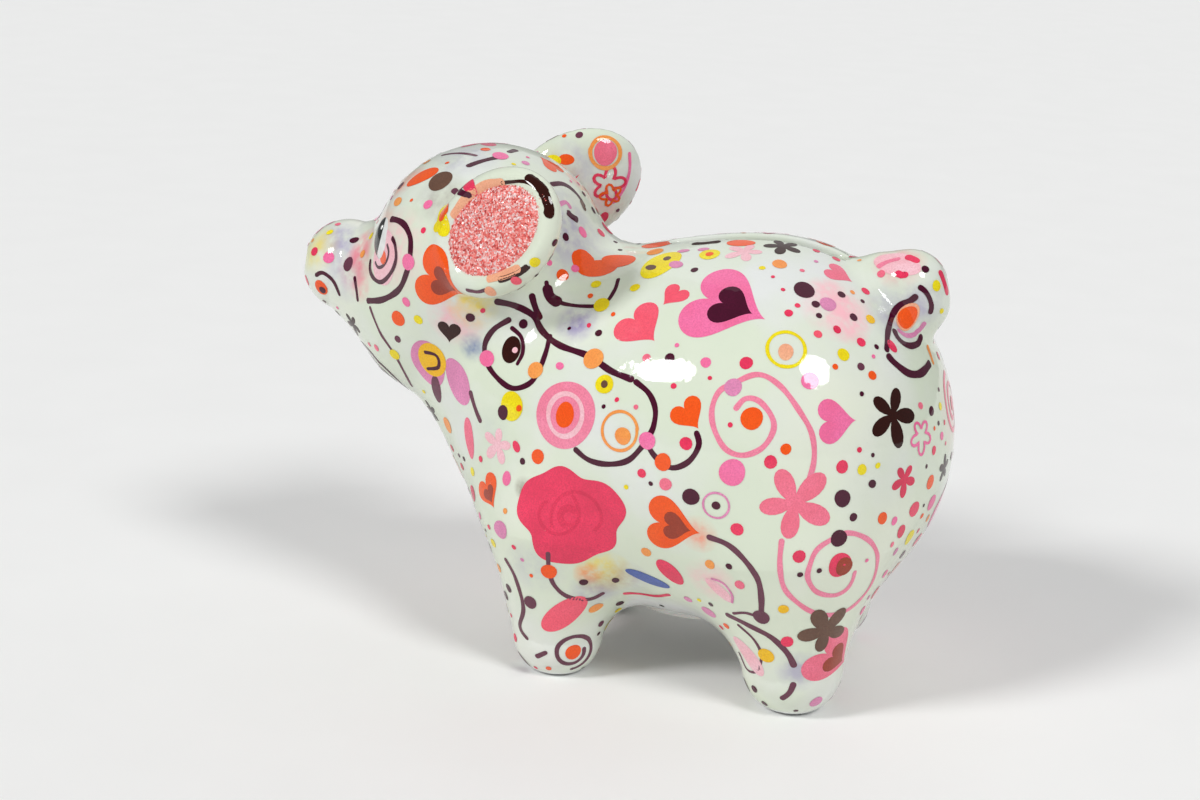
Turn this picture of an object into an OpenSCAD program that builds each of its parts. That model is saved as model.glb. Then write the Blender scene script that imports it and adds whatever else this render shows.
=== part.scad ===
// Ceramic piggy bank: a slip-cast hollow pig with luted ears and tail,
// painted eyes, glitter in the ear cups and a soft plug under the belly.
// The pig looks along -Y, +Z is up, and the origin is on the ground under
// the middle of its length.

/* [Body] */
// Width of the barrel across the flanks
barrel_width = 94; // [90:1:98]
// Length of the barrel, without the chest
barrel_length = 92; // [90:1:96]
// Height of the barrel
barrel_height = 94; // [92:1:98]
// Width of the head between the cheeks
head_width = 62; // [58:1:66]
// Distance between the front feet
front_track = 44; // [42:1:46]
// Distance between the hind feet
hind_track = 48; // [46:1:50]
// Thickness of the fired wall
wall = 4.5; // [4:0.25:5]

/* [Coin slot] */
// Length of the slot along the back
slot_length = 42; // [36:1:44]
// Width of the slot
slot_width = 5.5; // [5:0.25:6]
// Distance from the origin to the middle of the slot
slot_y = 32; // [29:1:34]

/* [Plug] */
// Diameter of the hole in the belly
hole_d = 28; // [26:1:29]
// Distance from the origin to the middle of the hole
hole_y = 23.5; // [22.5:0.5:25]
// Clearance round the neck of the plug
plug_clearance = 0.05; // [0.03:0.01:0.1]
// Length of the plug's pull tab
tab_length = 13; // [11:0.5:14]

/* [Ears] */
// Length of an ear
ear_length = 37; // [34:1:38]
// Height of an ear across its cup
ear_height = 28; // [26:1:30]
// Thickness of an ear at its middle
ear_thickness = 13; // [12:0.5:13.5]
// Depth of the cup in the front of an ear
cup_depth = 6; // [5.5:0.25:6.25]

/* [Skin] */
// Side of the cubes that the outer skin is meshed in
skin_cell = 5; // [4.5:0.5:6]

/* [Hidden] */
$fn = 48;

// Form of the pig: centres and half-sizes of its rounded masses
barrel_c = [0, 36, 60];
barrel_r = [barrel_width, barrel_length, barrel_height] / 2;
chest_c = [0, 0.5, 57.5];
chest_r = [38, 42, 40];
chest_lean = -20;
throat_back = [0, -12.5, 68];
throat_front = [0, -40.5, 80];
throat_r = [27, 23];
head_c = [0, -34, 97.5];
head_r = [head_width / 2, 27.5, 25];
snout_back = [0, -53, 84];
snout_front = [0, -70.5, 89];
snout_r = [19, 11.5];
hip_inset = 1;
front_hip = [front_track / 2 - hip_inset, -6.5, 37.5];
front_foot = [front_track / 2, -6.5, 9.3];
front_r = [19, 11];
hind_hip = [hind_track / 2, 48.5, 41];
hind_foot = [hind_track / 2, 51.5, 10.5];
hind_r = [20, 12];
// Widths over which each mass blends into the ones before it
chest_blend = 20;
throat_blend = 12;
skull_blend = 10;
snout_blend = 7;
front_blend = 10;
hind_blend = 12;
nostril_c = [4.3, -81.5, 90.5];
nostril_d = 4.6;

// Ears, from the head's surface outwards
ear_c = [32.5, -22.5, 108];
ear_turn = [35, -8, -22];
ear_axes = about_z(ear_turn.z) * about_y(ear_turn.y) * about_x(ear_turn.x);
ear_r = [ear_thickness, ear_length, ear_height] / 2;
cup_r = [cup_depth, ear_r.y - 2, ear_r.z - 2];
cup_c = [ear_r.x, 1, 0];
rim_round = 1.5;
glitter_c = cup_c - [0.75 * cup_depth, 0, 0];
glitter_r = [1.8, ear_r.y - 2, ear_r.z - 4];
// The ears and the tail reach this far into the wall, their cut edge rounded
root = 1.5;
root_round = 1;

// Eyes
eye_c = [18.9, -55.6, 100.8];
eye_turn = [0, -12, -50];
eye_r = [2, 5, 5.9];
eye_shift = [-1.45, 0.6, 0.2];
pupil_r = [2, 3.8, 5.2];
pupil_shift = [-1.2, -0.5, 0.3];

// Tail: a short curl from the rump, over and back down
tail_path = [[0, 62.5, 98], [0, 68.5, 98.5], [0, 70, 95]];
tail_r = [8, 8.2, 8];
tail_blend = 2;

// Plug, seated in the belly
seat_z = 17;
seat_d = hole_d + 9;
collar_d = hole_d + 12;
collar_top = seat_z + 5.5;
flange_d = hole_d + 7;
flange_h = 1.8;
flange_chamfer = 0.6;
neck_h = 8;
neck_r = hole_d / 2 - plug_clearance;
rib_h = 1.2;
well_r = hole_d / 2 - 3.2;
well_h = 7;
tab_width = 9;
tab_h = 1.2;
hinge_d = 1.6;
gap = 0.3;
hinge_y = hole_y - sqrt(pow(well_r, 2) - pow(tab_width / 2, 2)) + hinge_d / 2 + gap;

// Boxes that hold each meshed skin, and the sides of its cubes
body_low = [-50, -87, -5];
body_high = [50, 88, 126];
hollow_low = [-48, -81, 0];
hollow_high = [48, 87, 126];
hollow_cell = skin_cell + 1;
ear_cell = 1.8;
glitter_cell = 1.3;
tail_low = [-12, 48, 80];
tail_high = [12, 84, 112];
tail_cell = 2;
eye_cell = 0.9;
// Newton's steps feel the slope over this share of a cube's side
slope_share = 1 / 20;
// Depth given to a corner that is moved inside
barely = 0.05;
// Cuts run on this far past what they cut
over = 20;

// --- Distance fields -------------------------------------------------
function limit(t) = max(0, min(1, t));
function about_x(a) = [[1, 0, 0], [0, cos(a), -sin(a)], [0, sin(a), cos(a)]];
function about_y(a) = [[cos(a), 0, sin(a)], [0, 1, 0], [-sin(a), 0, cos(a)]];
function about_z(a) = [[cos(a), -sin(a), 0], [sin(a), cos(a), 0], [0, 0, 1]];

// Union of two distances, blended over the width k
function blend(a, b, k) =
    let (h = limit(0.5 + (b - a) / (2 * k)))
    b + (a - b) * h - k * h * (1 - h);
// First distance with the second one carved out of it
function carve(a, b, k) = -blend(-a, b, k);

// Ellipsoid whose half-sizes are r, in its own axes
function egg(q, r) =
    let (k0 = norm([q.x / r.x, q.y / r.y, q.z / r.z]))
    let (k1 = norm([q.x / pow(r.x, 2), q.y / pow(r.y, 2), q.z / pow(r.z, 2)]))
    k0 * (k0 - 1) / max(k1, 1e-6);
// Round rod from a to b, of radius r[0] at a and r[1] at b
function rod(p, a, b, r) =
    let (d = b - a, t = limit((p - a) * d / (d * d)))
    norm(p - a - t * d) - r[0] - t * (r[1] - r[0]);

function trunk_field(p) =
    let (barrel = egg(p - barrel_c, barrel_r))
    let (chest = egg((p - chest_c) * about_x(chest_lean), chest_r))
    let (throat = rod(p, throat_back, throat_front, throat_r))
    blend(blend(barrel, chest, chest_blend), throat, throat_blend);
function head_field(p) =
    let (skull = egg(p - head_c, head_r))
    let (snout = rod(p, snout_back, snout_front, snout_r))
    blend(blend(trunk_field(p), skull, skull_blend), snout, snout_blend);
function pig_field(p) =
    let (q = [abs(p.x), p.y, p.z])
    let (front = rod(q, front_hip, front_foot, front_r))
    let (hind = rod(q, hind_hip, hind_foot, hind_r))
    blend(blend(head_field(p), front, front_blend), hind, hind_blend);
// The ear, in its own axes
function ear_field(q) =
    let (leaf = egg(q, ear_r))
    let (cup = egg(q - cup_c, cup_r))
    carve(carve(leaf, cup, rim_round), head_field(ear_c + ear_axes * q) + root, root_round);
function tail_field(p) =
    let (up = rod(p, tail_path[0], tail_path[1], [tail_r[0], tail_r[1]]))
    let (down = rod(p, tail_path[1], tail_path[2], [tail_r[1], tail_r[2]]))
    carve(blend(up, down, tail_blend), trunk_field(p) + root, root_round);

// --- Skin: a closed mesh of the surface where a field is zero ---------
CORNERS = [for (x = [0, 1]) for (y = [0, 1]) for (z = [0, 1]) [x, y, z]];
EDGES = [for (a = [0:7]) for (b = [a + 1:7]) if (norm(CORNERS[a] - CORNERS[b]) == 1) [a, b]];
UNIT = [[1, 0, 0], [0, 1, 0], [0, 0, 1]];
// The twelve cube faces that meet at a corner, as steps along their two sides
SIDES = [for (a = [0:2]) for (s = [-1, 1]) for (t = [-1, 1]) [s * UNIT[a], t * UNIT[(a + 1) % 3]]];

function total(list) = [for (x = list) 1] * list;
function slope(f, p, e) = [for (u = UNIT) f(p + e * u) - f(p - e * u)] / (2 * e);
// One Newton step on to the surface
function settle(f, p, e) = let (g = slope(f, p, e)) p - g * f(p) / max(g * g, 0.2);
// Where a field with the values v at a cube's corners crosses its edges, on average
function middle(v) =
    let (hits = [for (e = EDGES) let (a = v[e[0]], b = v[e[1]])
        if ((a < 0) != (b < 0)) CORNERS[e[0]] + (CORNERS[e[1]] - CORNERS[e[0]]) * a / (a - b)])
    total(hits) / len(hits);
function at(v, g) = v[g.x][g.y][g.z];
// Is corner g outside, with a face whose corners are inside and outside crosswise?
function crosswise(v, g) = at(v, g) >= 0 && len([for (s = SIDES)
    if (at(v, g + s[0]) < 0 && at(v, g + s[1]) < 0 && at(v, g + s[0] + s[1]) >= 0) s]) > 0;
// Two triangles across the shorter diagonal
function pair(pts, a, b, c, d) =
    norm(pts[a] - pts[c]) < norm(pts[b] - pts[d]) ? [[a, b, c], [a, c, d]] : [[a, b, d], [b, c, d]];

module skin(f, low, high, cell) {
    n = [for (a = [0:2]) ceil((high[a] - low[a]) / cell)];
    raw = [for (i = [0:n.x]) [for (j = [0:n.y]) [for (k = [0:n.z]) f(low + cell * [i, j, k])]]];
    // Crosswise corners are counted as just inside, or four sheets would share an edge
    v = [for (i = [0:n.x]) [for (j = [0:n.y]) [for (k = [0:n.z])
        let (g = [i, j, k])
        min(g) > 0 && min(n - g) > 0 && crosswise(raw, g) ? -barely : at(raw, g)]]];
    cubes = [for (i = [0:n.x - 1]) for (j = [0:n.y - 1]) for (k = [0:n.z - 1])
        let (c = [for (s = CORNERS) v[i + s.x][j + s.y][k + s.z]])
        (min(c) < 0) != (max(c) < 0) ? low + cell * ([i, j, k] + middle(c)) : 0];
    number = [for (s = 0, m = 0; m < len(cubes); s = s + (cubes[m] == 0 ? 0 : 1), m = m + 1) s];
    points = [for (c = cubes) if (c != 0) settle(f, c, cell * slope_share)];
    faces = [for (i = [0:n.x - 1]) for (j = [0:n.y - 1]) for (k = [0:n.z - 1]) for (a = [0:2])
        let (g = [i, j, k], b = UNIT[(a + 1) % 3], c = UNIT[(a + 2) % 3], h = g + UNIT[a])
        let (here = v[i][j][k] < 0, there = v[h.x][h.y][h.z] < 0)
        if (here != there)
            let (m = [for (s = [b + c, c, [0, 0, 0], b]) cube_number(g - s, n, number)])
            each (here ? pair(points, m[3], m[2], m[1], m[0]) : pair(points, m[0], m[1], m[2], m[3]))];
    polyhedron(points = points, faces = faces, convexity = 6);
}
function cube_number(g, n, number) = number[(g.x * n.y + g.y) * n.z + g.z];

// --- Ceramic pieces ----------------------------------------------------
module below_ground() {
    size = body_high - body_low;
    translate([body_low.x, body_low.y, -over])
        cube([size.x, size.y, over]);
}
module coin_slot() {
    end_y = slot_length / 2 - slot_width / 2;
    translate([0, slot_y, barrel_c.z + over]) {
        for (side = [-1, 1])
            translate([0, side * end_y, 0])
                cylinder(d = slot_width, h = barrel_r.z);
        translate([-slot_width / 2, -end_y, 0])
            cube([slot_width, 2 * end_y, barrel_r.z]);
    }
}
module plug_hole() {
    translate([0, hole_y, 0]) {
        cylinder(d = seat_d, h = seat_z);
        cylinder(d = hole_d, h = collar_top + over);
    }
}
module nostrils() {
    for (side = [-1, 1])
        translate([side * nostril_c.x, nostril_c.y, nostril_c.z])
            sphere(d = nostril_d);
}
// The hollow inside, with a collar left standing round the plug's hole
module hollow() {
    difference() {
        skin(function (p) pig_field(p) + wall, hollow_low, hollow_high, hollow_cell);
        translate([0, hole_y, 0])
            cylinder(d = collar_d, h = collar_top);
    }
}
module body_shell() {
    color("ivory")
        difference() {
            skin(function (p) pig_field(p), body_low, body_high, skin_cell);
            hollow();
            below_ground();
            coin_slot();
            plug_hole();
            nostrils();
        }
}
module on_head(centre, turn, shift = [0, 0, 0]) {
    translate(centre)
        rotate(turn)
            translate(shift)
                children();
}
// Turned pieces are meshed in their own axes, where thin edges stay closed
module ear() {
    reach = ear_r + [ear_cell, ear_cell, ear_cell];
    on_head(ear_c, ear_turn)
        skin(function (q) ear_field(q), -reach, reach, ear_cell);
}
module lens(r, cell) {
    reach = r + [cell, cell, cell];
    skin(function (q) egg(q, r), -reach, reach, cell);
}
module ear_left() {
    color("ivory")
        ear();
}
module ear_right() {
    color("ivory")
        mirror([1, 0, 0])
            ear();
}
module tail() {
    color("ivory")
        skin(function (p) tail_field(p), tail_low, tail_high, tail_cell);
}

// --- Trim ----------------------------------------------------------------
module glitter() {
    on_head(ear_c, ear_turn, glitter_c)
        lens(glitter_r, glitter_cell);
}
module glitter_left() {
    color("lightcoral")
        glitter();
}
module glitter_right() {
    color("lightcoral")
        mirror([1, 0, 0])
            glitter();
}
module eye() {
    on_head(eye_c, eye_turn, eye_shift)
        lens(eye_r, eye_cell);
}
module eye_left() {
    color("white")
        eye();
}
module eye_right() {
    color("white")
        mirror([1, 0, 0])
            eye();
}
module pupil() {
    on_head(eye_c, eye_turn, pupil_shift)
        lens(pupil_r, eye_cell);
}
module pupil_left() {
    color("black")
        pupil();
}
module pupil_right() {
    color("black")
        mirror([1, 0, 0])
            pupil();
}

// --- Plug ------------------------------------------------------------------
// Turned neck and flange, open below, with a recess for the pull tab
module stopper() {
    color("gainsboro")
        translate([0, hole_y, seat_z])
            difference() {
                rotate_extrude()
                    polygon([[0, -flange_h], [flange_d / 2 - flange_chamfer, -flange_h],
                        [flange_d / 2, flange_chamfer - flange_h],
                        [flange_d / 2, 0], [neck_r, 0], [neck_r, neck_h - rib_h],
                        [neck_r - rib_h, neck_h], [0, neck_h]]);
                translate([0, 0, -flange_h - 1])
                    cylinder(r = well_r, h = well_h + 1);
            }
}
// Flap that lies in the plug's mouth and hinges at its front edge
module stopper_tab() {
    color("gainsboro")
        translate([0, hinge_y, seat_z - flange_h + hinge_d / 2]) {
            rotate([0, 90, 0])
                cylinder(d = hinge_d, h = tab_width, center = true);
            translate([-tab_width / 2, 0, -tab_h / 2])
                cube([tab_width, tab_length - tab_width / 2, tab_h]);
            translate([0, tab_length - tab_width / 2, -tab_h / 2])
                cylinder(d = tab_width, h = tab_h);
        }
}

body_shell();
ear_left();
ear_right();
tail();
glitter_left();
glitter_right();
eye_left();
eye_right();
pupil_left();
pupil_right();
stopper();
stopper_tab();
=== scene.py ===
"""Ceramic piggy bank: glazed skin, printed transfer, glitter, eyes and plug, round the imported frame."""
import math
import random

import bpy
import numpy as np
from mathutils import Matrix, Vector
from mathutils.bvhtree import BVHTree


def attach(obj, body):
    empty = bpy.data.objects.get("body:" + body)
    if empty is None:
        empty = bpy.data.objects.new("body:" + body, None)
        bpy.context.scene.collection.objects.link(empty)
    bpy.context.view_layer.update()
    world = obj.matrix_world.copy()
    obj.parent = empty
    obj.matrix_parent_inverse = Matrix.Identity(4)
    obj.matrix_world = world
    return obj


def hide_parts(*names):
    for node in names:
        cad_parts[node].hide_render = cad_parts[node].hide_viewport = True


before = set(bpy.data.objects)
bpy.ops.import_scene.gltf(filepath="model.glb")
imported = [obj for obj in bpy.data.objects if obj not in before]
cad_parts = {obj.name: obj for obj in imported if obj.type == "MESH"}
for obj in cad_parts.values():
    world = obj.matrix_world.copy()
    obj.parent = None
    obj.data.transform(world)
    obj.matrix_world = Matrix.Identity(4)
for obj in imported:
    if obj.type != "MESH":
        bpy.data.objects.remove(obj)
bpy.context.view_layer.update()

MM = 0.001
rng = random.Random(11)

# ------------------------------------------------------------------ form, in millimetres
# A scratch script fitted the main sizes to the photograph's outline, and they were then rounded.
# The scale itself is a guess.
WALL = 4.5
BARREL = ((0, 36, 60), (47, 46, 47))
CHEST = ((0, 0.5, 57.5), (38, 42, 40))
CHEST_LEAN = -20
THROAT = ((0, -12.5, 68), (0, -40.5, 80), 27, 23)
SKULL = ((0, -34, 97.5), (31, 27.5, 25))
SNOUT = ((0, -53, 84), (0, -70.5, 89), 19, 11.5)
FRONT_LEG = ((21, -6.5, 37.5), (22, -6.5, 9.3), 19, 11)
HIND_LEG = ((24, 48.5, 41), (24, 51.5, 10.5), 20, 12)
NOSTRIL = ((4.3, -81.5, 90.5), 2.3)
EAR_CENTRE = (32.5, -22.5, 108)
EAR_TURN = (35, -8, -22)
EAR_HALF = (6.5, 18.5, 14)
CUP_CENTRE, CUP_HALF = (6.5, 1, 0), (6, 16.5, 12)
TAIL = ((0, 62.5, 98), (0, 68.5, 98.5), (0, 70, 95))
TAIL_RADII = (8, 8.2, 8)
EYE_CENTRE = (18.9, -55.6, 100.8)
EYE_TURN = (0, -12, -50)
SLOT_Y, SLOT_LENGTH, SLOT_WIDTH = 32, 42, 5.5
PLUG_Y, HOLE_R, SEAT_R, SEAT_Z = 23.5, 14, 18.5, 17
COLLAR_R, COLLAR_TOP = 20, 22.5
SKIN_CELL = 1.0
INSIDE_CELL = 3.0
SKIN_BOX = ((-52, -86, -3), (52, 88, 128))
HOLLOW_BOX = ((-50, -84, 8), (50, 86, 122))
NORMAL_STEP = 0.15
HOLE_TOP = COLLAR_TOP + 2
SLOT_FLOOR = 85
# How widely each part blends into the rest, and how round the edge of each cut is.
CHEST_BLEND, THROAT_BLEND, SKULL_BLEND, SNOUT_BLEND = 20, 12, 10, 7
FRONT_BLEND, HIND_BLEND, EAR_BLEND, TAIL_BLEND = 10, 12, 3, 5
CUP_RIM, NOSTRIL_RIM, SLOT_RIM, SEAT_RIM, HOLE_RIM, SOLE_RIM = 2.0, 1.4, 1.3, 0.8, 0.5, 1.0


def turn(angles):
    """Rotation matrix for degrees about X, then Y, then Z."""
    x, y, z = (math.radians(a) for a in angles)
    return np.array(Matrix.Rotation(z, 3, "Z") @ Matrix.Rotation(y, 3, "Y") @ Matrix.Rotation(x, 3, "X"))


def blend(a, b, k):
    """Union of two distance fields, blended over the width k."""
    h = np.clip(0.5 + (b - a) / (2 * k), 0, 1)
    return b + (a - b) * h - k * h * (1 - h)


def carve(a, b, k):
    """The first field with the second carved out of it, its edge rounded by k."""
    return -blend(-a, b, k)


def egg(q, half):
    half = np.array(half, float)
    near = np.linalg.norm(q / half, axis=-1)
    return near * (near - 1) / np.maximum(np.linalg.norm(q / half**2, axis=-1), 1e-6)


def rod(p, a, b, ra, rb):
    a, d = np.array(a, float), np.subtract(b, a)
    t = np.clip((p - a) @ d / (d @ d), 0, 1)
    return np.linalg.norm(p - a - t[..., None] * d, axis=-1) - ra - t * (rb - ra)


def mirrored(p):
    return np.stack([np.abs(p[..., 0]), p[..., 1], p[..., 2]], axis=-1)


def head_field(p):
    barrel = egg(p - BARREL[0], BARREL[1])
    chest = egg((p - CHEST[0]) @ turn((CHEST_LEAN, 0, 0)), CHEST[1])
    trunk = blend(blend(barrel, chest, CHEST_BLEND), rod(p, *THROAT), THROAT_BLEND)
    head = blend(trunk, egg(p - SKULL[0], SKULL[1]), SKULL_BLEND)
    return blend(head, rod(p, *SNOUT), SNOUT_BLEND)


def pig_field(p):
    q = mirrored(p)
    front = blend(head_field(p), rod(q, *FRONT_LEG), FRONT_BLEND)
    return blend(front, rod(q, *HIND_LEG), HIND_BLEND)


def ear_field(p):
    q = (mirrored(p) - EAR_CENTRE) @ turn(EAR_TURN)
    cup = egg(q - CUP_CENTRE, CUP_HALF)
    return carve(egg(q, EAR_HALF), cup, CUP_RIM)


def tail_field(p):
    up = rod(p, TAIL[0], TAIL[1], TAIL_RADII[0], TAIL_RADII[1])
    return blend(up, rod(p, TAIL[1], TAIL[2], TAIL_RADII[1], TAIL_RADII[2]), 2)


def slot_field(p):
    half = (SLOT_LENGTH - SLOT_WIDTH) / 2
    along = np.maximum(np.abs(p[..., 1] - SLOT_Y) - half, 0)
    stadium = np.hypot(p[..., 0], along) - SLOT_WIDTH / 2
    return np.maximum(stadium, SLOT_FLOOR - p[..., 2])


def disc_field(p, radius, top):
    """A round hole of that radius under the belly, up to the height top."""
    return np.maximum(np.hypot(p[..., 0], p[..., 1] - PLUG_Y) - radius, p[..., 2] - top)


def skin_field(p):
    """The glazed outside, with the slot and the plug's hole cut deep into it."""
    whole = blend(blend(pig_field(p), ear_field(p), EAR_BLEND), tail_field(p), TAIL_BLEND)
    nostrils = np.linalg.norm(mirrored(p) - NOSTRIL[0], axis=-1) - NOSTRIL[1]
    for cut, rim in ((nostrils, NOSTRIL_RIM), (slot_field(p), SLOT_RIM),
                     (disc_field(p, SEAT_R, SEAT_Z), SEAT_RIM),
                     (disc_field(p, HOLE_R, HOLE_TOP), HOLE_RIM), (p[..., 2], SOLE_RIM)):
        whole = carve(whole, cut, rim)
    return whole


def hollow_field(p):
    return carve(pig_field(p) + WALL, disc_field(p, COLLAR_R, COLLAR_TOP), HOLE_RIM)


# ------------------------------------------------------------------ meshing a field
def slope(field, p, step):
    axes = np.eye(3) * step
    return np.stack([field(p + a) - field(p - a) for a in axes], axis=-1) / (2 * step)


def unit_rows(vectors):
    return vectors / np.linalg.norm(vectors, axis=1)[:, None]


def settle(field, p, step):
    """One Newton step on to the surface."""
    g = slope(field, p, step)
    return p - g * (field(p) / np.maximum((g * g).sum(-1), 0.2))[..., None]


def surface_net(field, low, high, cell):
    """Points and quads of the surface where the field is zero, by naive surface nets."""
    axes = [np.arange(low[i], high[i] + cell, cell) for i in range(3)]
    grid = np.stack(np.meshgrid(*axes, indexing="ij"), -1)
    value = np.concatenate([field(slab) for slab in np.array_split(grid, 16)])
    n = np.array(value.shape) - 1
    sum_p, hits = np.zeros((*n, 3)), np.zeros(tuple(n))
    for axis in range(3):
        b, c = [i for i in range(3) if i != axis]
        for db in (0, 1):
            for dc in (0, 1):
                cut = [slice(0, n[i]) for i in range(3)]
                cut[b], cut[c] = slice(db, db + n[b]), slice(dc, dc + n[c])
                far = list(cut)
                far[axis] = slice(1, n[axis] + 1)
                v0, v1 = value[tuple(cut)], value[tuple(far)]
                crossed = (v0 < 0) != (v1 < 0)
                point = np.zeros((*n, 3))
                point[..., b], point[..., c] = db, dc
                point[..., axis] = np.where(crossed, v0 / np.where(crossed, v0 - v1, 1), 0)
                sum_p += point * crossed[..., None]
                hits += crossed
    active = hits > 0
    number = np.full(tuple(n), -1)
    number[active] = np.arange(active.sum())
    points = (np.argwhere(active) + sum_p[active] / hits[active][:, None]) * cell + np.array(low)
    inside, quads = value < 0, []
    for axis in range(3):
        b, c = (axis + 1) % 3, (axis + 2) % 3
        cut = [slice(0, n[i]) for i in range(3)]
        cut[b], cut[c] = slice(1, n[b]), slice(1, n[c])
        far = list(cut)
        far[axis] = slice(1, n[axis] + 1)
        v0, v1 = inside[tuple(cut)], inside[tuple(far)]
        for crossed, order in ((v0 & ~v1, 1), (~v0 & v1, -1)):
            at = np.argwhere(crossed)
            at[:, b] += 1
            at[:, c] += 1
            corners = []
            for sb, sc in ((1, 1), (0, 1), (0, 0), (1, 0))[::order]:
                cell_at = at.copy()
                cell_at[:, b] -= sb
                cell_at[:, c] -= sc
                corners.append(number[tuple(cell_at.T)])
            quads.append(np.stack(corners, 1))
    for _ in range(2):
        points = settle(field, points, 0.05 * cell)
    return points, np.concatenate(quads)


def mesh_piece(name, points, faces, normals=None):
    """A mesh object from points in millimetres and faces as an array or as lists of any length."""
    mesh = bpy.data.meshes.new(name)
    faces = faces.tolist() if isinstance(faces, np.ndarray) else faces
    mesh.from_pydata((np.asarray(points) * MM).tolist(), [], faces)
    mesh.polygons.foreach_set("use_smooth", [True] * len(mesh.polygons))
    if normals is not None:
        mesh.normals_split_custom_set_from_vertices(np.asarray(normals).tolist())
    piece = bpy.data.objects.new(name, mesh)
    bpy.context.scene.collection.objects.link(piece)
    return piece


def dress(piece, material, node=None):
    """Fixes a piece to the bank with its look and slot, in place of a node if one is named."""
    piece.data.materials.append(material)
    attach(piece, "bank")
    if node:
        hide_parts(node)


def disc_faces(rings, around):
    """Faces of a disc of points: its middle, then ring after ring outwards."""
    ahead = [(j, (j + 1) % around) for j in range(around)]
    faces = [[0, 1 + j, 1 + k] for j, k in ahead]
    for ring_start in range(1, 1 + (rings - 1) * around, around):
        next_start = ring_start + around
        faces += [[ring_start + j, next_start + j, next_start + k, ring_start + k] for j, k in ahead]
    return faces


def used_part(points, faces, keep):
    """The numbers of the points that the kept faces use, and those faces renumbered to them."""
    faces = faces[keep]
    used = np.unique(faces)
    number = np.full(len(points), -1)
    number[used] = np.arange(len(used))
    return used, number[faces]


# ------------------------------------------------------------------ materials
def shader(name):
    """A new material with its node tree and its Principled shader."""
    material = bpy.data.materials.new(name)
    material.use_nodes = True
    tree = material.node_tree
    return material, tree, tree.nodes["Principled BSDF"]


def feed(socket, value):
    """Gives a socket a value: a number, a colour or another node's output."""
    if hasattr(value, "is_output"):
        socket.id_data.links.new(value, socket)
    else:
        socket.default_value = value


def set_inputs(node, values):
    for key, value in values.items():
        feed(node.inputs[key], value)


def add(tree, kind, **settings):
    """A new node, with its inputs fed and its other settings set."""
    node = tree.nodes.new(kind)
    for key, value in settings.items():
        if key in node.inputs:
            feed(node.inputs[key], value)
        else:
            setattr(node, key, value)
    return node


def place(tree):
    """Where the surface is, in the object's own metres."""
    return add(tree, "ShaderNodeTexCoord").outputs["Object"]


def times(tree, a, b):
    node = add(tree, "ShaderNodeMath", operation="MULTIPLY")
    feed(node.inputs[0], a)
    feed(node.inputs[1], b)
    return node.outputs["Value"]


def noise(tree, scale, detail, roughness=0.5):
    node = add(tree, "ShaderNodeTexNoise", Scale=scale, Detail=detail, Roughness=roughness,
               Vector=place(tree))
    return node.outputs["Fac"]


def ramp(tree, value, low, high):
    """The value stretched so that low gives 0 and high gives 1."""
    node = add(tree, "ShaderNodeMapRange", **{"Value": value, "From Min": low, "From Max": high})
    return node.outputs["Result"]


def mix(tree, share, a, b):
    """Colour a turning into colour b as share goes from 0 to 1."""
    return add(tree, "ShaderNodeMix", data_type="RGBA", Factor=share, A=a, B=b).outputs["Result"]


def relief(tree, height, strength, depth, over=None):
    """The normal of a surface whose height varies over a depth in metres, on top of another one."""
    node = add(tree, "ShaderNodeBump", Strength=strength, Distance=depth, Height=height)
    if over:
        feed(node.inputs["Normal"], over)
    return node.outputs["Normal"]


def tint(colour):
    """A linear colour with its alpha."""
    return (*colour, 1.0)


def shaded(colour, by):
    """The colour made lighter or darker by a factor."""
    return tuple(min(1.0, c * by) for c in colour)


def glaze_over(tree, bsdf):
    """The clear glaze on everything printed: glossy, and a little wavy from dipping."""
    waves = relief(tree, noise(tree, 75, 1.5), 0.14, 0.0010)
    ripple = relief(tree, noise(tree, 420, 1.0), 0.10, 0.0004, waves)
    set_inputs(bsdf, {"Roughness": 0.3, "Specular IOR Level": 0.0, "Coat Weight": 1.0,
                      "Coat Roughness": 0.05, "Coat IOR": 1.45, "Normal": ripple, "Coat Normal": ripple})


def smudge(tree, below, spot, radius, colour, strength):
    """A soft smear of ink round a spot in millimetres, over the colour below."""
    far = add(tree, "ShaderNodeVectorMath", operation="DISTANCE")
    feed(far.inputs[0], place(tree))
    feed(far.inputs[1], [c * MM for c in spot])
    near = ramp(tree, far.outputs["Value"], radius * MM, radius * 0.25 * MM)
    patchy = times(tree, near, ramp(tree, noise(tree, 260, 3.0, 0.6), 0.25, 0.62))
    return mix(tree, times(tree, patchy, strength), below, tint(colour))


def unprinted(tree):
    """1 under the belly and on the insides and soles of the feet, 0 on the printed skin."""
    parts = add(tree, "ShaderNodeSeparateXYZ", Vector=place(tree))
    out = add(tree, "ShaderNodeTexCoord").outputs["Normal"]
    facing = add(tree, "ShaderNodeSeparateXYZ", Vector=out)
    low = ramp(tree, parts.outputs["Z"], 0.034, 0.028)
    down = ramp(tree, facing.outputs["Z"], -0.70, -0.80)
    return times(tree, low, down)


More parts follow.
